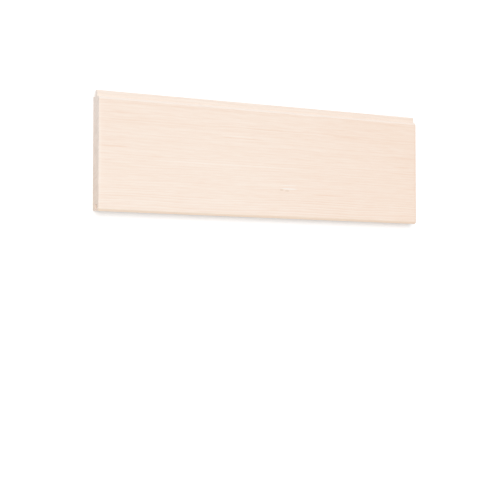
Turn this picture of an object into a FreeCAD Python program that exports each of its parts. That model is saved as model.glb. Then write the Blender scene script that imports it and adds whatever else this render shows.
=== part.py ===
"""Tongue and groove lining board with V-jointed edges: one length of planed softwood.

The board lies on its back face. X runs along the grain, Y across the width with the
tongue on the +Y edge and the groove on the -Y edge, and Z up out of the show face.
The origin is the middle of the back face. All sizes are in millimetres.
"""

import FreeCAD, Part
import os

import Sketcher

# Driving dimensions, each with the words that a maker would use for it.
SIZES = {
    "board_length": 470.0,          # along the grain, between the two sawn ends
    "cover_width": 137.5,           # from the groove's front lip to the tongue's shoulder
    "board_thickness": 16.0,        # from the back face to the show face
    "face_to_tongue": 4.7,          # show face down to the tongue's front flank at its root
    "tongue_length": 7.5,           # how far the tongue stands out of its shoulder
    "tongue_root_thickness": 5.4,
    "tongue_tip_thickness": 4.4,    # across the flanks at the tip, before it is rounded
    "tongue_tip_radius": 1.4,
    "flank_clearance": 0.2,         # between each flank of a tongue and the groove it enters
    "tip_clearance": 0.8,           # between the tip of a tongue and the floor of the groove
    "groove_floor_radius": 1.0,
    "back_lip_setback": 1.0,        # the back lip stops short, so that the face joint closes
    "joint_chamfer": 2.5,           # 45 degree bevel that makes half of the V joint
    "back_arris_radius": 1.0,
}

# Places in the section, as formulas of the driving dimensions. The overall width is
# centred on the origin, and the groove is the tongue's own outline plus its clearances.
SHOULDER_OUT = "(sizes.cover_width - sizes.tongue_length) / 2"
LIP_OUT = "(sizes.cover_width + sizes.tongue_length) / 2"
FLANK_FALL = "(sizes.tongue_root_thickness - sizes.tongue_tip_thickness) / 2"
TONGUE_ROOT_TOP = "sizes.board_thickness - sizes.face_to_tongue"
TONGUE_TIP_TOP = f"{TONGUE_ROOT_TOP} - {FLANK_FALL}"
TONGUE_CENTRE = f"{TONGUE_ROOT_TOP} - sizes.tongue_root_thickness / 2"
GROOVE_DEPTH = "(sizes.tongue_length + sizes.tip_clearance)"
WALL_FALL = f"{FLANK_FALL} * {GROOVE_DEPTH} / sizes.tongue_length"
GROOVE_MOUTH_TOP = f"{TONGUE_ROOT_TOP} + sizes.flank_clearance"
GROOVE_FLOOR_TOP = f"{GROOVE_MOUTH_TOP} - {WALL_FALL}"
GROOVE_MOUTH_WIDTH = "sizes.tongue_root_thickness + 2 * sizes.flank_clearance"
GROOVE_FLOOR_WIDTH = f"({GROOVE_MOUTH_WIDTH} - 2 * {WALL_FALL})"

# The edge of the board that a section lies on, as the sign of its Y.
TONGUE_EDGE = 1
GROOVE_EDGE = -1

# The most of a narrow wall that the rounding at each of its two edges may take.
WALL_SHARE = 0.45

# Two points nearer than this are the same corner of the section.
SAME_CORNER = 0.001

# How a sketch numbers its horizontal axis, its origin and the two ends of a line.
HORIZONTAL_AXIS = -1
START = 1
END = 2
ORIGIN = (HORIZONTAL_AXIS, START)


def make_sheet(document):
    """The spreadsheet of driving dimensions, one aliased cell for each."""
    sheet = document.addObject("Spreadsheet::Sheet", "sizes")
    for row, (name, value) in enumerate(SIZES.items(), start=1):
        sheet.set(f"A{row}", name)
        sheet.set(f"B{row}", str(value))
        sheet.setAlias(f"B{row}", name)
    document.recompute()
    return sheet


def evaluate(sheet, formula):
    """The number that a formula of the sheet stands for."""
    return float(sheet.evalExpression(formula))


def section_sketch(body, name):
    """An empty sketch on the body's YZ plane, where sketch x is Y and sketch y is Z."""
    sketch = body.newObject("Sketcher::SketchObject", name)
    plane = next(item for item in body.Origin.OriginFeatures if item.Role == "YZ_Plane")
    sketch.AttachmentSupport = [(plane, "")]
    sketch.MapMode = "FlatFace"
    return sketch


def draw_outline(sketch, corners, directions):
    """A closed outline through the corners, one side from each corner to the next. A side's
    direction is Horizontal, Vertical, or None where it slopes. Gives the corners' numbers."""
    count = len(corners)
    points = [FreeCAD.Vector(y, z, 0) for y, z in corners]
    for side in range(count):
        line = Part.LineSegment(points[side], points[(side + 1) % count])
        sketch.addGeometry(line, False)
    for side, direction in enumerate(directions):
        following = (side + 1) % count
        sketch.addConstraint(Sketcher.Constraint("Coincident", side, END, following, START))
        if direction:
            sketch.addConstraint(Sketcher.Constraint(direction, side))
    return [(side, START) for side in range(count)]


def drive(sketch, sheet, direction, first, second, formula):
    """A distance from the first point to the second that follows a formula of the sheet."""
    value = evaluate(sheet, formula)
    number = sketch.addConstraint(Sketcher.Constraint(direction, *first, *second, value))
    sketch.setExpression(f"Constraints[{number}]", formula)


def extrude(body, kind, sketch, name):
    """A pad or pocket of a section over the whole length, half to each side of the origin."""
    feature = body.newObject(kind, name)
    feature.Profile = sketch
    feature.SideType = "Symmetric"
    feature.Type = "Length"
    feature.setExpression("Length", "sizes.board_length")
    body.Document.recompute()
    return feature


def add_blank(body, sheet):
    """The planed blank: a full rectangle but for the back lip, which is set back from the
    front one. The step between the lips is inside the mouth of the groove."""
    sketch = section_sketch(body, "blank_section")
    shoulder = evaluate(sheet, SHOULDER_OUT)
    lip = -evaluate(sheet, LIP_OUT)
    centre = evaluate(sheet, TONGUE_CENTRE)
    thickness = sheet.board_thickness
    back_lip = lip + sheet.back_lip_setback
    corners = [
        (back_lip, 0),
        (shoulder, 0),
        (shoulder, thickness),
        (lip, thickness),
        (lip, centre),
        (back_lip, centre),
    ]
    sides = ["Horizontal", "Vertical"] * 3
    _, back_corner, face_corner, front_lip, lip_step, back_step = draw_outline(sketch, corners, sides)
    sketch.addConstraint(Sketcher.Constraint("PointOnObject", *back_corner, HORIZONTAL_AXIS))
    drive(sketch, sheet, "DistanceX", ORIGIN, back_corner, SHOULDER_OUT)
    drive(sketch, sheet, "DistanceY", back_corner, face_corner, "sizes.board_thickness")
    drive(sketch, sheet, "DistanceX", front_lip, face_corner, "sizes.cover_width")
    drive(sketch, sheet, "DistanceY", ORIGIN, lip_step, TONGUE_CENTRE)
    drive(sketch, sheet, "DistanceX", lip_step, back_step, "sizes.back_lip_setback")
    return extrude(body, "PartDesign::Pad", sketch, "blank")


def draw_tapered(body, sheet, name, edge, out, depth, root_top, end_top, root_width, end_width):
    """A section with two sloping flanks: its root on one edge of the board, at a distance
    out from the origin, and its narrower end further along +Y by the depth."""
    sketch = section_sketch(body, name)
    root_y = edge * evaluate(sheet, out)
    end_y = root_y + evaluate(sheet, depth)
    root_high = evaluate(sheet, root_top)
    root_low = root_high - evaluate(sheet, root_width)
    end_high = evaluate(sheet, end_top)
    end_low = end_high - evaluate(sheet, end_width)
    corners = [(root_y, root_low), (end_y, end_low), (end_y, end_high), (root_y, root_high)]
    sides = [None, "Vertical", None, "Vertical"]
    low_root, low_end, high_end, high_root = draw_outline(sketch, corners, sides)
    # A distance is positive, so the point with the lower Y comes first.
    across = (ORIGIN, high_root) if edge == TONGUE_EDGE else (high_root, ORIGIN)
    drive(sketch, sheet, "DistanceX", *across, out)
    drive(sketch, sheet, "DistanceX", high_root, high_end, depth)
    drive(sketch, sheet, "DistanceY", ORIGIN, high_root, root_top)
    drive(sketch, sheet, "DistanceY", ORIGIN, high_end, end_top)
    drive(sketch, sheet, "DistanceY", low_root, high_root, root_width)
    drive(sketch, sheet, "DistanceY", low_end, high_end, end_width)
    return sketch


def add_tongue(body, sheet):
    """The tongue: it stands out of the whole shoulder and narrows towards its tip."""
    sketch = draw_tapered(
        body,
        sheet,
        "tongue_section",
        edge=TONGUE_EDGE,
        out=SHOULDER_OUT,
        depth="sizes.tongue_length",
        root_top=TONGUE_ROOT_TOP,
        end_top=TONGUE_TIP_TOP,
        root_width="sizes.tongue_root_thickness",
        end_width="sizes.tongue_tip_thickness",
    )
    return extrude(body, "PartDesign::Pad", sketch, "tongue")


def add_groove(body, sheet):
    """The groove: the tongue's outline with its clearances, cut in from the front lip."""
    sketch = draw_tapered(
        body,
        sheet,
        "groove_section",
        edge=GROOVE_EDGE,
        out=LIP_OUT,
        depth=GROOVE_DEPTH,
        root_top=GROOVE_MOUTH_TOP,
        end_top=GROOVE_FLOOR_TOP,
        root_width=GROOVE_MOUTH_WIDTH,
        end_width=GROOVE_FLOOR_WIDTH,
    )
    volume_before = body.Shape.Volume
    groove = extrude(body, "PartDesign::Pocket", sketch, "groove")
    if groove.Shape.Volume >= volume_before:
        raise RuntimeError("the groove cut nothing out of the blank")
    return groove


def long_edges(feature, corners):
    """The names of the edges that run the board's length through corners of the section."""
    names = []
    for number, edge in enumerate(feature.Shape.Edges, start=1):
        middle = edge.CenterOfMass
        for y, z in corners:
            if abs(middle.y - y) < SAME_CORNER and abs(middle.z - z) < SAME_CORNER:
                names.append(f"Edge{number}")
    if len(names) != len(corners):
        raise RuntimeError(f"{feature.Name} has {len(names)} of the {len(corners)} edges wanted")
    return names


def work_edges(base, kind, name, corners, formula):
    """A chamfer or fillet on the long edges at the given corners of the section."""
    feature = base.getParent().newObject(f"PartDesign::{kind}", name)
    feature.Base = (base, long_edges(base, corners))
    size = "Size" if kind == "Chamfer" else "Radius"
    feature.setExpression(size, formula)
    feature.Document.recompute()
    return feature


def finish_edges(groove, sheet):
    """The joint's bevels on the show face, the rounded tongue tip and groove floor, and the
    eased arrises of the back face."""
    thickness = sheet.board_thickness
    shoulder = evaluate(sheet, SHOULDER_OUT)
    lip = -evaluate(sheet, LIP_OUT)
    back_lip = lip + sheet.back_lip_setback
    tip = shoulder + sheet.tongue_length
    tip_high = evaluate(sheet, TONGUE_TIP_TOP)
    tip_low = tip_high - sheet.tongue_tip_thickness
    floor = lip + evaluate(sheet, GROOVE_DEPTH)
    floor_high = evaluate(sheet, GROOVE_FLOOR_TOP)
    floor_low = floor_high - evaluate(sheet, GROOVE_FLOOR_WIDTH)
    tip_radius = f"min(sizes.tongue_tip_radius; {WALL_SHARE} * sizes.tongue_tip_thickness)"
    floor_radius = f"min(sizes.groove_floor_radius; {WALL_SHARE} * {GROOVE_FLOOR_WIDTH})"

    face_arrises = [(lip, thickness), (shoulder, thickness)]
    last = work_edges(groove, "Chamfer", "joint_bevels", face_arrises, "sizes.joint_chamfer")
    last = work_edges(last, "Fillet", "tongue_tip", [(tip, tip_high), (tip, tip_low)], tip_radius)
    floor_corners = [(floor, floor_high), (floor, floor_low)]
    last = work_edges(last, "Fillet", "groove_floor", floor_corners, floor_radius)
    back_arrises = [(back_lip, 0), (shoulder, 0)]
    return work_edges(last, "Fillet", "back_arrises", back_arrises, "sizes.back_arris_radius")


def make_board(document, sheet):
    """The whole board as one body: blank, tongue, groove, then its worked edges."""
    body = document.addObject("PartDesign::Body", "board")
    body.Label = "board"
    body.Placement = FreeCAD.Placement()
    add_blank(body, sheet)
    add_tongue(body, sheet)
    groove = add_groove(body, sheet)
    body.Tip = finish_edges(groove, sheet)
    document.recompute()
    return body


def check_document(document, bodies):
    """Stops if an object failed to compute, a sketch is loose or a sub-part isn't one valid solid."""
    for item in document.Objects:
        if "Invalid" in item.State or "Error" in item.State:
            raise RuntimeError(f"{item.Name} failed: {item.State}")
        if item.TypeId == "Sketcher::SketchObject" and not item.FullyConstrained:
            raise RuntimeError(f"{item.Name} isn't fully constrained")
    for body in bodies:
        if body.Shape.isNull() or not body.Shape.isValid() or len(body.Shape.Solids) != 1:
            raise RuntimeError(f"{body.Label} isn't one valid solid")


def main():
    document = FreeCAD.newDocument("tongue_and_groove_board")
    sheet = make_sheet(document)
    board = make_board(document, sheet)
    check_document(document, [board])
    os.makedirs("parts", exist_ok=True)
    board.Shape.exportStep(f"parts/{board.Label}.step")
    box = board.Shape.BoundBox
    print(f"{board.Label}: {box.XLength:.2f} x {box.YLength:.2f} x {box.ZLength:.2f} mm")
    print(f"volume {board.Shape.Volume:.0f} mm3 in {len(board.Shape.Faces)} faces")


main()
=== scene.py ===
"""A planed softwood lining board with a tongue and a groove, lying on its back on a pale floor.

The file is laid out as an add-on: a panel in the 3D view's sidebar lists one operator for the
board and one for the stage. All sizes are in metres. X runs along the grain, Y across the width
towards the tongue, and Z up out of the show face. The origin is the middle of the back face.
"""

from math import pi, radians
from types import SimpleNamespace

import bpy
import numpy as np
from bpy.props import FloatProperty, FloatVectorProperty, PointerProperty
from bpy.types import Operator, Panel, PropertyGroup
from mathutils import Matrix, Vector


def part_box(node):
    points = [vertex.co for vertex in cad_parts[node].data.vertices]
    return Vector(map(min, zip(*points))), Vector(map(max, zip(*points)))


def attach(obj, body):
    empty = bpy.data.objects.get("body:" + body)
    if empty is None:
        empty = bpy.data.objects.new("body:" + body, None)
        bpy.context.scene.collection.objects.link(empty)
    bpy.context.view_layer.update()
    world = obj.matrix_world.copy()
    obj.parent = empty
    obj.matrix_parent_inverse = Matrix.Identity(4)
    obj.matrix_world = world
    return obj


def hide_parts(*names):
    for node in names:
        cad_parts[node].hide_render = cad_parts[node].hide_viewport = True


bl_info = {
    "name": "Tongue and Groove Board",
    "version": (1, 0, 0),
    "blender": (4, 5, 0),
    "location": "View3D > Sidebar > Lining Board",
    "description": "Makes a planed softwood lining board and the stage it lies on",
    "category": "Object",
}

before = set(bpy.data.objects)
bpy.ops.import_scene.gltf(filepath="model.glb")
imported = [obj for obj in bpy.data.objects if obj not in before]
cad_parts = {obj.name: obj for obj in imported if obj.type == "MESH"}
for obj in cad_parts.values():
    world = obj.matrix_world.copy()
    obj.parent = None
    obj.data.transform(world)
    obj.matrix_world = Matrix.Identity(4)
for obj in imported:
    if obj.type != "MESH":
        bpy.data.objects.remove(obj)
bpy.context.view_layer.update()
BOARD_LOW, BOARD_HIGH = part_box("board")
HALF_LENGTH = BOARD_HIGH.x

# How many faces the board's mesh has along its length, and along each side of its section.
FACES_ALONG = 48            # between the two worn ends
FACES_END_ROUND = 4         # round the worn arris of each end
FACES_ACROSS = 190          # from the groove's floor to the arris by the tongue
FACES_ARRIS = 8             # over each eased arris of the face
FACES_TONGUE_BEVEL = 3      # from that arris to where the back turns up to the shoulder
FACES_GROOVE_BEVEL = 8      # from the front lip to the arris by the groove
FACES_OVER_GROOVE = 8       # from that arris to the round in the groove's floor
FACES_UNDER_GROOVE = 10     # from the back lip's round to the round in the groove's floor
FACES_FLANK = 12            # from the tongue's shoulder to the round of its tip
FACES_ROUND = 6             # round each quarter circle
FACES_BACK_LIP = 9          # up the back lip, and up the shoulder under the tongue
FACES_TONGUE = 8            # up the tongue's end, and up the groove's floor
FACES_FRONT_LIP = 7         # up the front lip, and up the shoulder over the tongue

# The stations over an eased arris reach this many eases to each side of it.
ARRIS_REACH = 1.5

# Corners of the section that are crisp before they are worn, each by the side that starts there.
CRISP_CORNERS = ("under_tongue", "front_shoulder", "core_face", "front_lip", "over_groove", "back_lip")

# Wear of the crisp corners: the share of the way that a corner moves to the middle of its
# neighbours, how much less each point beside it moves, and how many times over.
CORNER_WEAR = 0.6
CORNER_WEAR_LOSS = 0.2
CORNER_WEAR_PASSES = 3

# Wear round the arrises of the ends, about 1: how many points to each side it is averaged over,
# where the bell of that average is cut off, how far it wanders, its limits and each end's seed.
END_WEAR_REACH = 5
END_WEAR_BELL = 2.0
END_WEAR_WANDER = 0.45
END_WEAR_LIMITS = (0.35, 1.9)
END_WEAR_SEEDS = (11, 12)

# How far the sawn ends fall back from the square on average, the waves of that in radians per
# metre across and up the end, and how far in from the end it has faded out.
RUN_OUT = 0.00003
RUN_OUT_ACROSS = 52.0
RUN_OUT_UP = 90.0
RUN_OUT_FADE = 0.01

# Points of an end that round to the same place on a grid of this size are one point.
POINT_GRID = 1e-7

# Edges that turn by more than this are shaded as sharp.
SHARP_TURN = radians(40)


# Settings that a user would change

def length(name, description, default):
    """A size in metres."""
    return FloatProperty(
        name=name, description=description, default=default, min=0.0, precision=5, unit="LENGTH")


def colour(name, description, default):
    """A colour in linear light."""
    return FloatVectorProperty(
        name=name, description=description, default=default, size=3, min=0.0, max=1.0, subtype="COLOR")


class BoardSizes(PropertyGroup):
    """The section of the board. Its overall length, width and thickness come from the frame."""

    tongue_length: length("Tongue length", "How far the tongue stands out of its shoulder", 0.0075)
    tongue_root_thickness: length("Tongue root", "Thickness of the tongue at its shoulder", 0.0054)
    tongue_tip_thickness: length("Tongue tip", "Thickness of the tongue at its tip", 0.0044)
    tongue_tip_radius: length("Tip radius", "Rounding of the tongue's tip", 0.0014)
    face_to_tongue: length("Face to tongue", "From the show face down to the tongue's root", 0.0047)
    flank_clearance: length("Flank clearance", "Room beside each flank of the tongue", 0.0002)
    tip_clearance: length("Tip clearance", "Room past the tip of the tongue", 0.0008)
    groove_floor_radius: length("Floor radius", "Rounding in the groove's floor", 0.0010)
    back_lip_setback: length("Back lip setback", "How far the back lip stops short", 0.0010)
    joint_chamfer: length("Joint bevel", "Size of the bevel along each edge of the face", 0.0025)
    back_arris_radius: length("Back arris", "Rounding along each edge of the back", 0.0010)
    face_arris_ease: length("Face arris", "How softly the face turns into its bevels", 0.0004)
    end_arris_ease: length("End arris", "Wear along the edges of the sawn ends", 0.0002)


class WoodFinish(PropertyGroup):
    """The wood's own colours and figure, and the painted highlight and shade on its worked edges."""

    earlywood: colour("Earlywood", "The pale spring wood", (0.940, 0.832, 0.741))
    latewood: colour("Latewood", "The darker line that closes each ring", (0.872, 0.684, 0.560))
    end_by_tongue: colour(
        "End by tongue", "What the ends are toned by at the tongue", (0.905, 0.950, 1.000))
    end_by_groove: colour(
        "End by groove", "What the ends are toned by at the groove", (0.875, 0.872, 0.868))
    resin: colour("Resin", "The dark dashes of a resin fleck", (0.640, 0.480, 0.340))
    # Painted highlight: this paler tone on the bevel by the tongue stands for the light that the bevel
    # catches. The resin fleck's pale dashes take the same colour.
    pale_scar_and_bevel_highlight: colour("Pale bevel", "What the bevel by the tongue is toned by", (0.940, 0.892, 0.846))
    # Painted shade: this warm, darker tone on the bevel by the groove stands for the shade and the
    # warm bounced light in a joint between boards.
    warm_bevel_shade: colour("Warm bevel", "What the bevel by the groove is toned by", (0.990, 0.760, 0.560))
    # Painted shade: this darker, cooler tone on the tongue takes down the light that its flank
    # catches.
    tongue_shade: colour("Tongue", "What the tongue is toned by", (0.868, 0.800, 0.735))
    ring_spacing: length("Ring spacing", "Growth in one year", 0.0029)
    heart_across: FloatProperty(
        name="Heart across", description="Where the heart of the tree lies across the width",
        default=0.110, unit="LENGTH")
    heart_below: length("Heart below", "How far the heart lies below the back face", 0.070)
    relief: FloatProperty(
        name="Relief", description="How far latewood stands proud of earlywood",
        default=0.00003, min=0.0, precision=6, unit="LENGTH")
    roughness: FloatProperty(
        name="Roughness", description="How matt the planed wood is",
        default=0.64, min=0.0, max=1.0, subtype="FACTOR")


class StageLook(PropertyGroup):
    """The floor and the light."""

    floor: colour("Floor", "Colour of the floor", (0.92, 0.92, 0.92))
    sky: FloatProperty(
        name="Sky", description="Level of the even light from all round", default=0.62, min=0.0)
    key: FloatProperty(
        name="Key lamp", description="Strength of the large soft lamp", default=1.40, min=0.0)


# The section

def tapered_half(y, root, root_half, end, taper, radius):
    """Half the height of the tongue or the groove at each y: a straight taper from its root,
    then a round that is tangent to the flank and to the flat end. The round's centre lies one
    radius short of the end, and one radius off the flank measured square to it."""
    lean = np.arctan(taper)
    centre = end - radius
    centre_half = root_half - taper * (centre - root) - radius / np.cos(lean)
    straight = root_half - taper * (y - root)
    past = np.clip(y - centre, 0.0, radius)
    rounded = centre_half + np.sqrt(radius ** 2 - past ** 2)
    return np.where(y > centre + radius * np.sin(lean), rounded, straight)


def section_lines(sizes):
    """The lines that the section is set out from, and its heights as functions of y."""
    section = SimpleNamespace()
    section.top = BOARD_HIGH.z
    section.lip = BOARD_LOW.y
    section.tip = BOARD_HIGH.y
    section.shoulder = section.tip - sizes.tongue_length
    section.back_lip = section.lip + sizes.back_lip_setback
    section.floor = section.lip + sizes.tongue_length + sizes.tip_clearance
    section.bevel_by_tongue = section.shoulder - sizes.joint_chamfer
    section.bevel_by_groove = section.lip + sizes.joint_chamfer
    root_half = sizes.tongue_root_thickness / 2
    middle = section.top - sizes.face_to_tongue - root_half
    taper = (root_half - sizes.tongue_tip_thickness / 2) / sizes.tongue_length
    ease = sizes.face_arris_ease
    arris = sizes.back_arris_radius

    def face(y):
        """Level, less how far y is past a bevel's start, with a parabola of twice the ease
        between the two that is tangent to both."""
        past = np.maximum(y - section.bevel_by_tongue, section.bevel_by_groove - y)
        turning = (np.clip(past, -ease, ease) + ease) ** 2 / (4 * ease)
        return section.top - np.where(past > ease, past, turning)

    def back(y):
        """Level, with a quarter circle at each arris."""
        past = np.maximum(y - (section.shoulder - arris), section.back_lip + arris - y)
        return arris - np.sqrt(arris ** 2 - np.clip(past, 0.0, arris) ** 2)

    def tongue(y):
        """Half the tongue's height."""
        return tapered_half(
            y, section.shoulder, root_half, section.tip, taper, sizes.tongue_tip_radius)

    def groove(y):
        """Half the groove's height: the tongue's, and the clearance beside it."""
        mouth_half = root_half + sizes.flank_clearance
        return tapered_half(
            y, section.lip, mouth_half, section.floor, taper, sizes.groove_floor_radius)

    section.face = face
    section.back = back
    section.tongue_over = lambda y: middle + tongue(y)
    section.tongue_under = lambda y: middle - tongue(y)
    section.groove_over = lambda y: middle + groove(y)
    section.groove_under = lambda y: middle - groove(y)
    return section


def even(start, end, count):
    """Even stations from start to short of end."""
    return np.linspace(start, end, count, endpoint=False)


def turning_up(start, end):
    """Stations of a quarter circle, even by angle, that is level at start and upright at end."""
    return start + (end - start) * np.sin(even(0.0, pi / 2, FACES_ROUND))


def turning_level(start, end):
    """Stations of a quarter circle, even by angle, that is upright at start and level at end."""
    return start + (end - start) * (1 - np.cos(even(0.0, pi / 2, FACES_ROUND)))


def between(first, last, count):
    """Points on the straight line from the first to the last, both included."""
    return np.linspace(first, last, count + 1)


def outline_sides(sizes, section):
    """The section's outline as named sides, in order against the clock as seen from +X. Each
    is a list of points (y, z) that includes both its ends."""
    ease = ARRIS_REACH * sizes.face_arris_ease
    back_round = section.shoulder - sizes.back_arris_radius
    back_lip_round = section.back_lip + sizes.back_arris_radius
    floor_round = section.floor - sizes.groove_floor_radius
    tip_round = section.tip - sizes.tongue_tip_radius
    core_y = np.concatenate([
        even(section.floor, section.bevel_by_tongue - ease, FACES_ACROSS),
        even(section.bevel_by_tongue - ease, section.bevel_by_tongue + ease, FACES_ARRIS),
        even(section.bevel_by_tongue + ease, back_round, FACES_TONGUE_BEVEL),
        turning_up(back_round, section.shoulder),
        [section.shoulder],
    ])
    front_lip_y = np.concatenate([
        even(section.lip, section.bevel_by_groove - ease, FACES_GROOVE_BEVEL),
        even(section.bevel_by_groove - ease, section.bevel_by_groove + ease, FACES_ARRIS),
        even(section.bevel_by_groove + ease, floor_round, FACES_OVER_GROOVE),
        turning_up(floor_round, section.floor),
        [section.floor],
    ])
    back_lip_y = np.concatenate([
        turning_level(section.back_lip, back_lip_round),
        even(back_lip_round, floor_round, FACES_UNDER_GROOVE),
        turning_up(floor_round, section.floor),
        [section.floor],
    ])
    tongue_y = np.concatenate([
        even(section.shoulder, tip_round, FACES_FLANK),
        turning_up(tip_round, section.tip),
        [section.tip],
    ])

    def across(stations, height):
        """Points (y, z) at the stations, each at its height."""
        return np.stack([stations, height(stations)], axis=1)

    under_lip = across(back_lip_y, section.back)
    under_core = across(core_y, section.back)
    under_tongue = across(tongue_y, section.tongue_under)
    over_tongue = across(tongue_y, section.tongue_over)[::-1]
    core_face = across(core_y, section.face)[::-1]
    lip_face = across(front_lip_y, section.face)[::-1]
    over_groove = across(front_lip_y, section.groove_over)
    under_groove = across(back_lip_y, section.groove_under)[::-1]
    return {
        "under_lip": under_lip,
        "under_core": under_core,
        "back_shoulder": between(under_core[-1], under_tongue[0], FACES_BACK_LIP),
        "under_tongue": under_tongue,
        "tongue_end": between(under_tongue[-1], over_tongue[0], FACES_TONGUE),
        "over_tongue": over_tongue,
        "front_shoulder": between(over_tongue[-1], core_face[0], FACES_FRONT_LIP),
        "core_face": core_face,
        "lip_face": lip_face,
        "front_lip": between(lip_face[-1], over_groove[0], FACES_FRONT_LIP),
        "over_groove": over_groove,
        "groove_floor": between(over_groove[-1], under_groove[0], FACES_TONGUE),
        "under_groove": under_groove,
        "back_lip": between(under_groove[-1], under_lip[0], FACES_BACK_LIP),
    }


def worn_corners(loop, corners):
    """The closed loop with its crisp corners rubbed round: near a corner each point moves
    part of the way to the middle of its two neighbours, a few times over."""
    steps = np.abs(np.arange(len(loop))[:, None] - np.asarray(corners)[None, :])
    steps = np.minimum(steps, len(loop) - steps).min(axis=1)
    share = np.clip(CORNER_WEAR - CORNER_WEAR_LOSS * steps, 0.0, None)[:, None]
    for _ in range(CORNER_WEAR_PASSES):
        middle = (np.roll(loop, 1, axis=0) + np.roll(loop, -1, axis=0)) / 2
        loop = loop + share * (middle - loop)
    return loop


def outward(loop):
    """The loop's normals: the direction from the point before to the point after, turned a
    quarter with the clock."""
    along = np.roll(loop, -1, axis=0) - np.roll(loop, 1, axis=0)
    along = along / np.linalg.norm(along, axis=1, keepdims=True)
    return np.stack([along[:, 1], -along[:, 0]], axis=1)


# The mesh

def patch(bottom, top, left, right):
    """A grid of points that fills four sides: the sum of the sheet ruled from bottom to top and
    the sheet ruled from left to right, less the sheet ruled between the four corners."""
    u = np.linspace(0.0, 1.0, len(bottom))[:, None, None]
    v = np.linspace(0.0, 1.0, len(left))[None, :, None]
    up = (1 - v) * bottom[:, None] + v * top[:, None]
    over = (1 - u) * left[None] + u * right[None]
    corners = ((1 - u) * ((1 - v) * bottom[0] + v * top[0])
               + u * ((1 - v) * bottom[-1] + v * top[-1]))
    return up + over - corners


def grid_quads(numbers):
    """Four vertex numbers for each cell of a grid of them."""
    cells = [numbers[:-1, :-1], numbers[1:, :-1], numbers[1:, 1:], numbers[:-1, 1:]]
    return np.stack(cells, axis=-1).reshape(-1, 4)


def end_cap(loop, counts):
    """One end of the board, filled as four patches that share their edges: the core, the two
    lips and the tongue. Gives its points, its faces and the numbers of the loop's own points."""
    starts = np.cumsum([0] + list(counts.values()))
    span = {name: (start, count) for (name, count), start in zip(counts.items(), starts)}

    def side(name):
        """One side of the loop, with both its ends."""
        start, count = span[name]
        return loop[np.arange(start, start + count + 1) % len(loop)]

    back_seam = between(side("under_core")[0], side("under_groove")[0], FACES_BACK_LIP)
    front_seam = between(side("over_groove")[-1], side("lip_face")[0], FACES_FRONT_LIP)
    tongue_seam = between(side("under_tongue")[0], side("over_tongue")[-1], FACES_TONGUE)
    core_left = np.concatenate([back_seam[:-1], side("groove_floor")[::-1][:-1], front_seam])
    core_right = np.concatenate([side("back_shoulder")[:-1], tongue_seam[:-1], side("front_shoulder")])
    patches = [
        patch(side("under_core"), side("core_face")[::-1], core_left, core_right),
        patch(side("over_groove"), side("lip_face")[::-1], side("front_lip")[::-1], front_seam),
        patch(side("under_lip"), side("under_groove")[::-1], side("back_lip")[::-1], back_seam),
        patch(side("under_tongue"), side("over_tongue")[::-1], tongue_seam, side("tongue_end")),
    ]
    flat = np.concatenate([grid.reshape(-1, 2) for grid in patches] + [loop])
    _, first, numbers = np.unique(
        np.round(flat / POINT_GRID).astype(np.int64), axis=0, return_index=True, return_inverse=True)
    numbers = numbers.reshape(-1)
    quads = []
    used = 0
    for grid in patches:
        size = grid.shape[0] * grid.shape[1]
        quads.append(grid_quads(numbers[used:used + size].reshape(grid.shape[:2])))
        used += size
    return flat[first], np.concatenate(quads), numbers[used:]


def end_wear(count, seed):
    """A closed row of numbers about 1 that wander: seeded white noise, averaged under a bell
    over a few points to each side, and kept within limits."""
    reach = END_WEAR_REACH
    white = np.random.default_rng(seed).standard_normal(count)
    bell = np.exp(-np.linspace(-END_WEAR_BELL, END_WEAR_BELL, 2 * reach + 1) ** 2)
    wrapped = np.concatenate([white[-reach:], white, white[:reach]])
    wander = np.convolve(wrapped, bell / np.linalg.norm(bell), mode="valid")
    return np.clip(1.0 + END_WEAR_WANDER * wander, *END_WEAR_LIMITS)


def saw_run_out(y, z):
    """How far the sawn end falls back from the square: 1 and the sine of a slow wave across and
    up the end, times the average."""
    return RUN_OUT * (1 + np.sin(RUN_OUT_ACROSS * y + RUN_OUT_UP * z))


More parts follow.
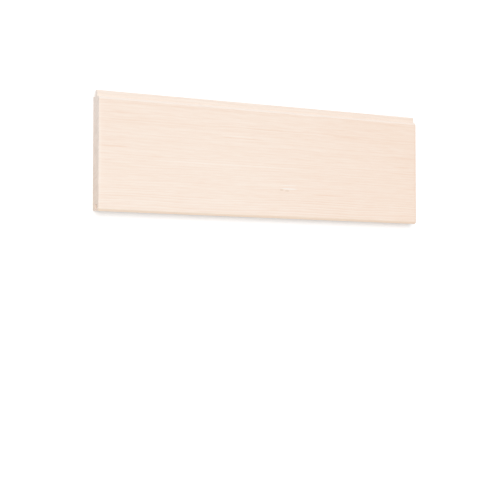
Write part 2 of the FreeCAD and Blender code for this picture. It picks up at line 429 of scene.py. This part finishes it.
def board_mesh(sizes):
    """The whole board: the section's loop carried along X, worn back round the arrises of both
    ends, and closed by the two caps. At an angle a of the end's round, a point lies the ease
    times 1 - cos a from the end and the ease times 1 - sin a inside the section."""
    sides = outline_sides(sizes, section_lines(sizes))
    counts = {name: len(points) - 1 for name, points in sides.items()}
    loop = np.concatenate([points[:-1] for points in sides.values()])
    starts = dict(zip(counts, np.cumsum([0] + list(counts.values()))))
    loop = worn_corners(loop, [starts[name] for name in CRISP_CORNERS])
    normals = outward(loop)

    ease = sizes.end_arris_ease
    angle = np.linspace(0.0, pi / 2, FACES_END_ROUND + 1)
    near_end = ease * (1 - np.cos(angle))
    worn = ease * (1 - np.sin(angle))
    inner = np.linspace(-HALF_LENGTH + ease, HALF_LENGTH - ease, FACES_ALONG + 1)[1:-1]
    stations = np.concatenate([-HALF_LENGTH + near_end, inner, HALF_LENGTH - near_end[::-1]])
    inside_start = np.concatenate([worn, np.zeros(len(inner) + len(worn))])
    inside_end = inside_start[::-1]

    count = len(loop)
    wear_start, wear_end = (end_wear(count, seed) for seed in END_WEAR_SEEDS)
    depth = inside_start[:, None] * wear_start[None] + inside_end[:, None] * wear_end[None]
    rings = loop[None] - depth[..., None] * normals[None]
    run_out = saw_run_out(rings[..., 0], rings[..., 1])
    fade = np.clip(1 - (HALF_LENGTH - np.abs(stations)) / RUN_OUT_FADE, 0.0, 1.0)[:, None]
    along = stations[:, None] - np.sign(stations)[:, None] * run_out * fade
    tube = np.concatenate([along[..., None], rings], axis=-1)

    caps = []
    for end, ring in ((-1, rings[0]), (1, rings[-1])):
        points, quads, rim = end_cap(ring, counts)
        x = end * (HALF_LENGTH - saw_run_out(points[:, 0], points[:, 1]))
        caps.append((np.column_stack([x, points]), quads[:, ::end], rim))
    (low_points, low_quads, low_rim), (high_points, high_quads, high_rim) = caps
    between_ends = tube[1:-1].reshape(-1, 3)
    middle_start = len(low_points) + len(high_points)
    numbers = middle_start + np.arange(len(between_ends)).reshape(-1, count)
    numbers = np.concatenate([low_rim[None], numbers, len(low_points) + high_rim[None]])
    numbers = np.concatenate([numbers, numbers[:, :1]], axis=1)
    points = np.concatenate([low_points, high_points, between_ends])
    quads = np.concatenate([low_quads, len(low_points) + high_quads, grid_quads(numbers)])
    return points, quads


def new_object(name, points, quads, material):
    """A mesh object at the origin with smooth faces, and sharp edges where it turns hard."""
    mesh = bpy.data.meshes.new(name)
    mesh.from_pydata(points.tolist(), [], quads.tolist())
    mesh.polygons.foreach_set("use_smooth", np.ones(len(mesh.polygons), dtype=bool))
    mesh.set_sharp_from_angle(angle=SHARP_TURN)
    mesh.materials.append(material)
    mesh.update()
    obj = bpy.data.objects.new(name, mesh)
    bpy.context.scene.collection.objects.link(obj)
    return obj


# Nodes

# Noise seldom goes further than this to either side of 0.
NOISE_SPAN = 0.2


class Graph:
    """Adds nodes to a tree and wires them up. Each call gives an output for the next."""

    def __init__(self, owner):
        """Starts on the emptied tree of a material or a world."""
        owner.use_nodes = True
        self.tree = owner.node_tree
        self.tree.nodes.clear()

    def node(self, kind, inputs=None, **settings):
        """A node of a kind, with its inputs fed and its settings made."""
        node = self.tree.nodes.new(kind)
        for name, value in settings.items():
            setattr(node, name, value)
        for name, value in (inputs or {}).items():
            self.feed(node.inputs[name], value)
        return node

    def feed(self, socket, value):
        """Links an output to the socket, or sets a constant on it."""
        if isinstance(value, bpy.types.NodeSocket):
            self.tree.links.new(value, socket)
        else:
            socket.default_value = value

    def end(self, kind, shader):
        """Ends the tree in an output of a kind, with the shader as its surface."""
        self.node(kind, {"Surface": shader.outputs[0]})

    def math(self, operation, first, second=0.0, third=0.0):
        """One operation on up to three numbers."""
        node = self.node("ShaderNodeMath", {0: first, 1: second, 2: third}, operation=operation)
        return node.outputs[0]

    def plus(self, total, share, pattern):
        """The total, and a share of the pattern on top."""
        return self.math("MULTIPLY_ADD", pattern, share, total)

    def distance(self, across, above):
        """The root of the two squares."""
        squares = self.math("MULTIPLY_ADD", across, across, self.math("MULTIPLY", above, above))
        return self.math("SQRT", squares)

    def scaled(self, vector, factors):
        """The vector, with each axis times its own factor."""
        node = self.node("ShaderNodeVectorMath", {0: vector, 1: factors}, operation="MULTIPLY")
        return node.outputs[0]

    def noise(self, vector, waves, detail=2.0, roughness=0.5):
        """Noise between -0.5 and 0.5, with its own number of waves per metre along each axis."""
        node = self.node("ShaderNodeTexNoise", {
            "Vector": self.scaled(vector, waves),
            "Scale": 1.0,
            "Detail": detail,
            "Roughness": roughness,
        })
        return self.math("SUBTRACT", node.outputs["Fac"], 0.5)

    def noise_along(self, value, waves, detail):
        """Noise between -0.5 and 0.5 along one value, with a number of waves per metre of it."""
        node = self.node(
            "ShaderNodeTexNoise",
            {"W": self.math("MULTIPLY", value, waves), "Scale": 1.0, "Detail": detail},
            noise_dimensions="1D")
        return self.math("SUBTRACT", node.outputs["Fac"], 0.5)

    def step(self, value, low, high, to_low=0.0, to_high=1.0):
        """A smooth step from to_low, where the value is at low, to to_high, where it is at high."""
        node = self.node(
            "ShaderNodeMapRange",
            {"Value": value, "From Min": low, "From Max": high, "To Min": to_low, "To Max": to_high},
            interpolation_type="SMOOTHSTEP")
        return node.outputs["Result"]

    def spread(self, noise, to_low=0.0, to_high=1.0):
        """The noise as a smooth step over the span that it seldom leaves."""
        return self.step(noise, -NOISE_SPAN, NOISE_SPAN, to_low, to_high)

    def blend(self, factor, first, second):
        """The first number where the factor is 0, and the second where it is 1."""
        node = self.node("ShaderNodeMix", {0: factor, 2: first, 3: second}, data_type="FLOAT")
        return node.outputs[0]

    def mix(self, factor, first, second, blend_type="MIX"):
        """The first colour where the factor is 0, and the second mixed in where it is 1."""
        node = self.node(
            "ShaderNodeMix", {0: factor, 6: first, 7: second}, data_type="RGBA", blend_type=blend_type)
        return node.outputs[2]

    def ramp(self, value, stops):
        """A grey value for each position of the stops, eased between them."""
        node = self.node("ShaderNodeValToRGB", {"Fac": value})
        node.color_ramp.interpolation = "EASE"
        elements = node.color_ramp.elements
        while len(elements) < len(stops):
            elements.new(0.5)
        for element, (position, grey) in zip(elements, stops):
            element.position = position
            element.color = (grey, grey, grey, 1.0)
        return node.outputs["Color"]


def opaque(rgb):
    """The colour with full alpha."""
    return (*rgb, 1.0)


# The wood's figure

# How far the grain strays sideways: waves per metre along X, Y and Z, and the reach in metres.
SLOW_WANDER = (4.0, 18.0, 18.0)
SLOW_WANDER_REACH = 0.0070
QUICK_WANDER = (12.0, 50.0, 50.0)
QUICK_WANDER_REACH = 0.0030

# How far the heart of the tree strays for each metre along X: towards the groove, and down.
HEART_STRAYS_ACROSS = 0.003
HEART_STRAYS_DOWN = 0.002

# How dark the wood is through one year's growth: the share of the year that is past, and the tone.
YEAR_TONES = ((0.0, 0.45), (0.12, 0.0), (0.50, 0.30), (0.82, 0.85), (0.94, 1.0), (1.0, 0.45))
YEAR_MEAN_TONE = 0.42

# Thick and thin years: waves per metre from the heart and their detail, and the reach in years.
UNEVEN_YEARS = (160.0, 1.0)
UNEVEN_YEARS_REACH = 1.2

# How strongly a year shows: the weakest and the strongest of them, and how much of that is left
# nearer the heart and further out, with the two distances from the heart.
YEAR_STRENGTHS = (0.60, 1.0)
RINGS_FAINT_AT = 0.165
RINGS_CLEAR_AT = 0.190
RINGS_FAINT_SHARE = 0.22
RINGS_CLEAR_SHARE = 0.85

# Where rings come and go: waves per metre along X, Y and Z, and the least and most that shows.
RINGS_SHOWING = (8.0, 40.0, 40.0)
RINGS_SHOWING_SHARES = (0.45, 1.0)

# Patterns in the planed wood: waves per metre along X, Y and Z, or per metre from the heart with
# their detail, and then how much each darkens it.
DARK_YEARS = (120.0, 2.0)
LONG_STREAKS = (8.0, 200.0, 200.0)
SHORT_STREAKS = (34.0, 420.0, 420.0)
TONE_DRIFT = (2.0, 9.0, 9.0)
LINES_IN_YEARS = (800.0, 3.0)
FIBRES = (60.0, 1500.0, 1500.0)
RESIN_CANALS = (90.0, 2200.0, 2200.0)
DARK_YEARS_SHARE = 0.18
LONG_STREAKS_SHARE = 0.28
SHORT_STREAKS_SHARE = 0.56
TONE_DRIFT_SHARE = 0.28
LINES_IN_YEARS_SHARE = 0.60
FIBRES_SHARE = 0.65
RESIN_CANALS_SHARE = 0.40

# The level of that last noise at which a resin canal sets in, and is full.
RESIN_CANAL_FROM = 0.17
RESIN_CANAL_FULL = 0.24

# Heartwood is darker than sapwood: how far from the heart the one ends and the other starts, and
# how much darker and paler they are.
HEARTWOOD_TO = 0.115
SAPWOOD_FROM = 0.180
HEARTWOOD_TONE = 0.050
SAPWOOD_TONE = -0.050

# The board is darker towards its +X end: where that starts, and how dark it is there and at the end.
DARKER_FROM = -0.05
DARKNESS_AT_START = 0.385
DARKNESS_AT_END = 0.62

# Marks that stand out on the show face, one of them a painted highlight: where the middle of each lies
# in x and y, half its length and half its breadth, and how much darker it is than the wood around it,
# or paler with a minus.
FACE_MARKS = (
    (-0.0410, 0.0259, 0.0440, 0.0008, 0.55),
    (-0.2050, 0.0469, 0.0350, 0.0012, 0.35),
    (-0.0070, 0.0392, 0.0400, 0.0011, 0.35),
    (0.1010, 0.0465, 0.0360, 0.0011, 0.35),
    (0.1200, 0.0376, 0.0260, 0.0010, 0.35),
    (0.2150, 0.0150, 0.0330, 0.0010, 0.45),
    (0.2150, 0.0026, 0.0330, 0.0010, 0.45),
    (0.2200, -0.0063, 0.0300, 0.0009, 0.40),
    (-0.2150, 0.0060, 0.0300, 0.0014, 0.35),
    (0.0920, -0.0406, 0.0300, 0.0009, 0.40),
    (-0.0570, -0.0083, 0.1300, 0.0011, -0.35),
    (-0.0450, 0.0282, 0.0300, 0.0008, -0.30),
    (-0.1000, 0.0602, 0.2000, 0.0024, 0.17),
    # A painted highlight: a pale strip along the face's arris at the -X end, where the eased arris
    # catches the light.
    (-0.2335, -0.0040, 0.0026, 0.0800, -0.20),
    (0.2335, -0.0040, 0.0024, 0.0800, 0.14),
)

# One resin fleck on the face, as dark dashes beside pale ones, each with the same first four
# measures, and how much of the grain below they hide.
FLECK_DASHES = ((0.0207, -0.0361, 0.0040, 0.0009), (0.0288, -0.0371, 0.0042, 0.0009))
FLECK_SCARS = ((0.0320, -0.0344, 0.0150, 0.0010), (0.0320, -0.0302, 0.0150, 0.0008))
DASH_SHARE = 0.60
SCAR_SHARE = 0.70

# A mark is full inside this share of its ellipse, by area.
MARK_CORE = 0.1

# Marks break up into fibres: waves per metre, the least and most of a mark that shows, and how
# far below the face it starts to fade and is gone.
TORN_FIBRES = (25.0, 900.0, 900.0)
TORN_SHARES = (0.40, 1.60)
MARK_FADES_BELOW = 0.001
MARK_GONE_BELOW = 0.003


def ring_radius(graph, spot, wood):
    """Distance from the heart of the tree, which runs almost along X: the root of the squared
    offsets across and above it, and the wander of the grain, which is a slow noise and a
    smaller, quicker one."""
    across = graph.math("SUBTRACT", spot.y, wood.heart_across)
    across = graph.plus(across, HEART_STRAYS_ACROSS, spot.x)
    above = graph.math("ADD", spot.z, wood.heart_below)
    above = graph.plus(above, HEART_STRAYS_DOWN, spot.x)
    wander = graph.math("MULTIPLY", graph.noise(spot.place, SLOW_WANDER), SLOW_WANDER_REACH)
    wander = graph.plus(wander, QUICK_WANDER_REACH, graph.noise(spot.place, QUICK_WANDER))
    return graph.math("ADD", graph.distance(across, above), wander)


def latewood_lines(graph, radius, wood):
    """How far each place is through its year's growth, from pale at first to dark at the year's
    sharp end, and how strongly that year shows. Some years are thin and some thick, some strong
    and some weak, and those far out in the tree, which show by the groove, are the clearest."""
    years = graph.math("DIVIDE", radius, wood.ring_spacing)
    years = graph.plus(years, UNEVEN_YEARS_REACH, graph.noise_along(radius, *UNEVEN_YEARS))
    late = graph.ramp(graph.math("FRACT", years), YEAR_TONES)
    vigour = graph.node(
        "ShaderNodeTexWhiteNoise", {"W": graph.math("FLOOR", years)}, noise_dimensions="1D")
    strength = graph.step(vigour.outputs["Value"], 0.0, 1.0, *YEAR_STRENGTHS)
    clear = graph.step(
        radius, RINGS_FAINT_AT, RINGS_CLEAR_AT, RINGS_FAINT_SHARE, RINGS_CLEAR_SHARE)
    return late, graph.math("MULTIPLY", strength, clear)


def torn_fibres(graph, spot):
    """What breaks the marks up into fibres, about 1 on the show face and 0 deeper in the wood."""
    fibres = graph.spread(graph.noise(spot.place, TORN_FIBRES), *TORN_SHARES)
    shallow = graph.step(spot.z, BOARD_HIGH.z - MARK_GONE_BELOW, BOARD_HIGH.z - MARK_FADES_BELOW)
    return graph.math("MULTIPLY", fibres, shallow)


def face_mark(graph, spot, x, y, half_length, half_width):
    """One mark along the grain: 1 about its middle, and 0 outside an ellipse."""
    along = graph.math("DIVIDE", graph.math("SUBTRACT", spot.x, x), half_length)
    aside = graph.math("DIVIDE", graph.math("SUBTRACT", spot.y, y), half_width)
    reach = graph.math("MULTIPLY_ADD", along, along, graph.math("MULTIPLY", aside, aside))
    return graph.step(reach, 1.0, MARK_CORE)


def grain_figure(graph, spot):
    """How dark the planed wood is, from 0 to 1: rings that come and go along the board, runs of
    darker years, soft streaks long and short, slow drifts of tone, fine lines within the years,
    fibres, short resin canals, a darker +X end, darker heartwood, and a few marks, one of them a
    painted highlight."""
    showing = graph.spread(graph.noise(spot.place, RINGS_SHOWING), *RINGS_SHOWING_SHARES)
    canals = graph.noise(spot.place, RESIN_CANALS)
    figure = graph.math("MULTIPLY", graph.math("SUBTRACT", spot.late, YEAR_MEAN_TONE), spot.strength)
    figure = graph.math("MULTIPLY", figure, showing)
    for share, pattern in (
        (DARK_YEARS_SHARE, graph.noise_along(spot.radius, *DARK_YEARS)),
        (LONG_STREAKS_SHARE, graph.noise(spot.place, LONG_STREAKS)),
        (SHORT_STREAKS_SHARE, graph.noise(spot.place, SHORT_STREAKS)),
        (TONE_DRIFT_SHARE, graph.noise(spot.place, TONE_DRIFT)),
        (LINES_IN_YEARS_SHARE, graph.noise_along(spot.radius, *LINES_IN_YEARS)),
        (FIBRES_SHARE, graph.noise(spot.place, FIBRES)),
        (RESIN_CANALS_SHARE, graph.step(canals, RESIN_CANAL_FROM, RESIN_CANAL_FULL)),
    ):
        figure = graph.plus(figure, share, pattern)
    darkness = graph.step(spot.x, DARKER_FROM, HALF_LENGTH, DARKNESS_AT_START, DARKNESS_AT_END)
    figure = graph.math("ADD", figure, darkness)
    heartwood = graph.step(spot.radius, HEARTWOOD_TO, SAPWOOD_FROM, HEARTWOOD_TONE, SAPWOOD_TONE)
    figure = graph.math("ADD", figure, heartwood)
    marks = 0.0
    for *measures, share in FACE_MARKS:
        marks = graph.plus(marks, share, face_mark(graph, spot, *measures))
    return graph.plus(figure, spot.torn, marks)


def resin_fleck(graph, spot, grain, wood):
    """The fleck's dark and pale dashes, laid over the grain."""
    for dashes, share, tone in (
        (FLECK_DASHES, DASH_SHARE, wood.resin),
        (FLECK_SCARS, SCAR_SHARE, wood.pale_scar_and_bevel_highlight),
    ):
        for measures in dashes:
            mark = graph.math("MULTIPLY", face_mark(graph, spot, *measures), spot.torn)
            grain = graph.mix(graph.math("MULTIPLY", mark, share), grain, opaque(tone))
    return grain


# The wood's surfaces

# How much of their painted highlight and shade the worked edges take.
BEVEL_HIGHLIGHT_SHARE = 0.45
BEVEL_SHADE_SHARE = 0.50
TONGUE_SHADE_SHARE = 0.35

# Where those tones set in and are full, in y past the line that each starts from. The bevels'
# tones end below the bevels' feet, over a drop in z.
BEVEL_HIGHLIGHT_SETS_IN = (-0.0009, 0.0)
BEVEL_SHADE_SETS_IN = (0.0003, -0.0005)
TONGUE_SHADE_SETS_IN = (-0.0002, 0.0004)
BEVEL_FOOT_DROP = 0.0004

# How far in from the ends the sawn surface starts, and is full.
SAWN_FROM = 0.0005
SAWN_FULL = 0.0002

# Pores and slow patches on the sawn ends: waves per metre along X, Y and Z.
PORES = (400.0, 1400.0, 1400.0)
PORES_ROUGHNESS = 0.65
PATCHES = (20.0, 110.0, 110.0)
SAWN_DETAIL = 3.0

# How pale a place on the sawn ends is at least, how much the patches add, how much latewood
# takes off, and what that shades the darkest and the palest places by.
SAWN_PALENESS = 0.4
PATCHES_SHARE = 1.8
SAWN_LATEWOOD_SHARE = -0.9
SAWN_SHADES = (0.93, 1.06)

# Fibres that stand up on the planed wood: waves per metre along X, Y and Z, and height.
RAISED_FIBRES = (120.0, 1500.0, 1500.0)
RAISED_FIBRES_HEIGHT = 0.000012

# Where the middle of the saw's blade passed each end: across the width, and below the back face.
SAW_ACROSS = 0.030
SAW_BELOW = 0.130

# The saw's ridges: waves per metre from the blade's middle and their detail, and height. The
# pores' own depth follows.
SAW_RIDGES = (700.0, 2.0)
SAW_RIDGES_HEIGHT = 0.00016
PORES_DEPTH = 0.00008

# Gloss: how much smoother latewood is, how much rougher the sawn ends are, and the specular level.
LATEWOOD_SMOOTHER = -0.10
SAWN_ROUGHER = 0.2
SPECULAR_LEVEL = 0.3


def wood_spot(graph, wood):
    """What the patterns read at each spot of the wood: its coordinates, its distance from the
    heart, its latewood and how strongly that shows, the two multiplied, what tears the marks,
    the pores, and whether it lies on a sawn end, as 1 or 0."""
    spot = SimpleNamespace()
    spot.place = graph.node("ShaderNodeTexCoord").outputs["Object"]
    axes = graph.node("ShaderNodeSeparateXYZ", {0: spot.place}).outputs
    spot.x = axes["X"]
    spot.y = axes["Y"]
    spot.z = axes["Z"]
    spot.radius = ring_radius(graph, spot, wood)
    spot.late, spot.strength = latewood_lines(graph, spot.radius, wood)
    spot.raised = graph.math("MULTIPLY", spot.late, spot.strength)
    spot.torn = torn_fibres(graph, spot)
    spot.pores = graph.noise(spot.place, PORES, SAWN_DETAIL, PORES_ROUGHNESS)
    from_middle = graph.math("ABSOLUTE", spot.x)
    spot.sawn = graph.step(from_middle, HALF_LENGTH - SAWN_FROM, HALF_LENGTH - SAWN_FULL)
    return spot


def edges_painted_light(graph, spot, grain, wood, sizes):
    """Painted light on the worked edges, over the grain: a painted highlight that makes the bevel by
    the tongue paler, painted shade that makes the tongue darker and cooler, and painted shade with
    warm bounced light on the bevel by the groove."""
    shoulder = BOARD_HIGH.y - sizes.tongue_length
    by_tongue = shoulder - sizes.joint_chamfer
    by_groove = BOARD_LOW.y + sizes.joint_chamfer
    foot = BOARD_HIGH.z - sizes.joint_chamfer
    upper = graph.step(spot.z, foot - BEVEL_FOOT_DROP, foot)

    def past(line, sets_in):
        """0 where the tone past a line hasn't set in, and 1 where it is full."""
        start, full = sets_in
        return graph.step(spot.y, line + start, line + full)

    pale = graph.math("MULTIPLY", upper, past(by_tongue, BEVEL_HIGHLIGHT_SETS_IN))
    warm = graph.math("MULTIPLY", upper, past(by_groove, BEVEL_SHADE_SETS_IN))
    for edge, share, tone in (
        (pale, BEVEL_HIGHLIGHT_SHARE, wood.pale_scar_and_bevel_highlight),
        (warm, BEVEL_SHADE_SHARE, wood.warm_bevel_shade),
        (past(shoulder, TONGUE_SHADE_SETS_IN), TONGUE_SHADE_SHARE, wood.tongue_shade),
    ):
        grain = graph.mix(graph.math("MULTIPLY", edge, share), grain, opaque(tone))
    return grain


def sawn_tone(graph, spot, grain, wood):
    """The sawn ends' tone, across the fibres: the grain times a tone that runs from the groove's
    to the tongue's over the width, times a shade that the pores and slow patches make paler or
    darker, and latewood darker."""
    pale = graph.plus(
        graph.spread(spot.pores), PATCHES_SHARE, graph.noise(spot.place, PATCHES, SAWN_DETAIL))
    pale = graph.plus(graph.math("ADD", pale, SAWN_PALENESS), SAWN_LATEWOOD_SHARE, spot.late)
    side = graph.step(spot.y, BOARD_LOW.y, BOARD_HIGH.y)
    end_tone = graph.mix(side, opaque(wood.end_by_groove), opaque(wood.end_by_tongue))
    shade = graph.step(pale, 0.0, 1.0, *SAWN_SHADES)
    return graph.mix(1.0, graph.mix(1.0, grain, end_tone, "MULTIPLY"), shade, "MULTIPLY")


def surface_height(graph, spot, wood):
    """Relief: latewood and fibres stand proud of the planed wood, and on the ends the saw leaves
    ridges round the middle of its blade, with the pores between."""
    planed = graph.plus(
        graph.math("MULTIPLY", spot.raised, wood.relief),
        RAISED_FIBRES_HEIGHT, graph.noise(spot.place, RAISED_FIBRES))
    from_blade = graph.distance(
        graph.math("SUBTRACT", spot.y, SAW_ACROSS), graph.math("ADD", spot.z, SAW_BELOW))
    sawn = graph.plus(
        graph.math("MULTIPLY", spot.pores, PORES_DEPTH),
        SAW_RIDGES_HEIGHT, graph.noise_along(from_blade, *SAW_RIDGES))
    return graph.blend(spot.sawn, planed, sawn)


def wood_material(wood, sizes):
    """Planed softwood, as one solid block of growth rings that all surfaces cut through."""
    material = bpy.data.materials.new("planed_softwood_grain")
    graph = Graph(material)
    spot = wood_spot(graph, wood)
    grain = graph.mix(grain_figure(graph, spot), opaque(wood.earlywood), opaque(wood.latewood))
    grain = resin_fleck(graph, spot, grain, wood)
    # The worked edges get their painted highlight and shade.
    planed = edges_painted_light(graph, spot, grain, wood, sizes)
    tone = graph.mix(spot.sawn, planed, sawn_tone(graph, spot, grain, wood))
    height = surface_height(graph, spot, wood)
    bump = graph.node("ShaderNodeBump", {"Strength": 1.0, "Distance": 1.0, "Height": height})
    roughness = graph.plus(wood.roughness, LATEWOOD_SMOOTHER, spot.raised)
    roughness = graph.plus(roughness, SAWN_ROUGHER, spot.sawn)
    shader = graph.node("ShaderNodeBsdfPrincipled", {
        "Base Color": tone,
        "Roughness": roughness,
        "Normal": bump.outputs["Normal"],
        "Specular IOR Level": SPECULAR_LEVEL,
    })
    graph.end("ShaderNodeOutputMaterial", shader)
    return material


# The stage

WHITE = (1.0, 1.0, 1.0, 1.0)

# The floor: half its side, how many points it has along a side, how far it lies below the back
# face, and how much light of its own the camera sees on it.
FLOOR_HALF = 6.0
FLOOR_POINTS = 5
FLOOR_DROP = 0.0001
FLOOR_GLOW = 0.16

# The key lamp: how wide it looks from the board, which way it lies, and how far off.
KEY_WIDTH = radians(36)
KEY_TOWARDS = (-0.28, 0.22, 0.90)
KEY_DISTANCE = 3.0

# The camera: its place, its turn about X, Y and Z, and its lens and sensor in millimetres.
CAMERA_PLACE = (-0.91469, -0.19370, 1.51860)
CAMERA_TURN = (radians(2.612), radians(-30.588), 0.0)
CAMERA_LENS = 100.0
CAMERA_SENSOR = 36.0


def seen_rays(graph):
    """1 for the camera's own rays and those that gloss or glass sends on, and 0 for the rest."""
    rays = graph.node("ShaderNodeLightPath").outputs
    seen = graph.math("MAXIMUM", rays["Is Camera Ray"], rays["Is Glossy Ray"])
    return graph.math("MAXIMUM", seen, rays["Is Transmission Ray"])


def floor_material(look):
    """A matt pale floor that the camera sees as white away from the board's shadow: camera rays
    get a little light of its own on top of what it reflects."""
    material = bpy.data.materials.new("pale_floor")
    graph = Graph(material)
    matt = graph.node("ShaderNodeBsdfDiffuse", {"Color": opaque(look.floor)})
    glow = graph.math("MULTIPLY", seen_rays(graph), FLOOR_GLOW)
    lift = graph.node("ShaderNodeEmission", {"Color": WHITE, "Strength": glow})
    both = graph.node("ShaderNodeAddShader", {0: matt.outputs[0], 1: lift.outputs[0]})
    graph.end("ShaderNodeOutputMaterial", both)
    return material


def make_floor(look):
    """A level square under the board: x and y run over an even grid, z is just below zero."""
    line = np.linspace(-FLOOR_HALF, FLOOR_HALF, FLOOR_POINTS)
    x, y = np.meshgrid(line, line, indexing="ij")
    points = np.stack([x, y, np.full_like(x, -FLOOR_DROP)], axis=-1).reshape(-1, 3)
    numbers = np.arange(x.size).reshape(x.shape)
    floor = new_object("floor", points, grid_quads(numbers), floor_material(look))


def make_world(look):
    """Even light from all round, which the camera sees as white."""
    world = bpy.data.worlds.new("studio_sky")
    graph = Graph(world)
    level = graph.blend(seen_rays(graph), look.sky, 1.0)
    sky = graph.node("ShaderNodeBackground", {"Color": WHITE, "Strength": level})
    graph.end("ShaderNodeOutputWorld", sky)
    bpy.context.scene.world = world


def make_key_lamp(look):
    """A broad soft light from far off, high over the tongue's side and a little towards -X."""
    data = bpy.data.lights.new("key_lamp", "SUN")
    data.angle = KEY_WIDTH
    data.energy = look.key
    lamp = bpy.data.objects.new("key_lamp", data)
    lamp.location = Vector(KEY_TOWARDS).normalized() * KEY_DISTANCE
    lamp.rotation_euler = lamp.location.to_track_quat("Z", "Y").to_euler()
    bpy.context.scene.collection.objects.link(lamp)


def make_camera():
    """The camera looks down on the board from beyond its -X end, almost square to the width."""
    data = bpy.data.cameras.new("camera")
    data.lens = CAMERA_LENS
    data.sensor_width = CAMERA_SENSOR
    camera = bpy.data.objects.new("camera", data)
    camera.location = CAMERA_PLACE
    camera.rotation_euler = CAMERA_TURN
    bpy.context.scene.collection.objects.link(camera)
    bpy.context.scene.camera = camera


# Operators and panel

class LINING_OT_planed_board(Operator):
    """Make the planed board with its tongue and groove"""

    bl_idname = "lining.planed_board"
    bl_label = "Planed Board"

    def execute(self, context):
        sizes = context.scene.lining_sizes
        points, quads = board_mesh(sizes)
        material = wood_material(context.scene.lining_wood, sizes)
        board = new_object("planed_board", points, quads, material)
        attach(board, "root")
        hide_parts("board")
        return {"FINISHED"}


class LINING_OT_stage(Operator):
    """Make the floor, the light and the camera"""

    bl_idname = "lining.stage"
    bl_label = "Stage"

    def execute(self, context):
        look = context.scene.lining_stage
        make_floor(look)
        make_world(look)
        make_key_lamp(look)
        make_camera()
        context.scene.view_settings.view_transform = "Standard"
        return {"FINISHED"}


class LINING_PT_panel(Panel):
    """Lists the board and the stage, with their settings"""

    bl_idname = "LINING_PT_panel"
    bl_label = "Tongue and Groove Board"
    bl_space_type = "VIEW_3D"
    bl_region_type = "UI"
    bl_category = "Lining Board"

    def draw(self, context):
        for operator, groups in (
            (LINING_OT_planed_board, ("lining_sizes", "lining_wood")),
            (LINING_OT_stage, ("lining_stage",)),
        ):
            box = self.layout.box()
            box.operator(operator.bl_idname)
            for group in groups:
                settings = getattr(context.scene, group)
                for name in settings.__annotations__:
                    box.prop(settings, name)


CLASSES = (BoardSizes, WoodFinish, StageLook, LINING_OT_planed_board, LINING_OT_stage, LINING_PT_panel)


def register():
    """Make the settings, the operators and the panel known to Blender."""
    for cls in CLASSES:
        bpy.utils.register_class(cls)
    bpy.types.Scene.lining_sizes = PointerProperty(type=BoardSizes)
    bpy.types.Scene.lining_wood = PointerProperty(type=WoodFinish)
    bpy.types.Scene.lining_stage = PointerProperty(type=StageLook)


def unregister():
    """Take them away again, in the opposite order."""
    del bpy.types.Scene.lining_stage
    del bpy.types.Scene.lining_wood
    del bpy.types.Scene.lining_sizes
    for cls in reversed(CLASSES):
        bpy.utils.unregister_class(cls)


def main():
    """Make the board and the stage."""
    register()
    bpy.ops.lining.planed_board()
    bpy.ops.lining.stage()


if __name__ == "__main__":
    main()
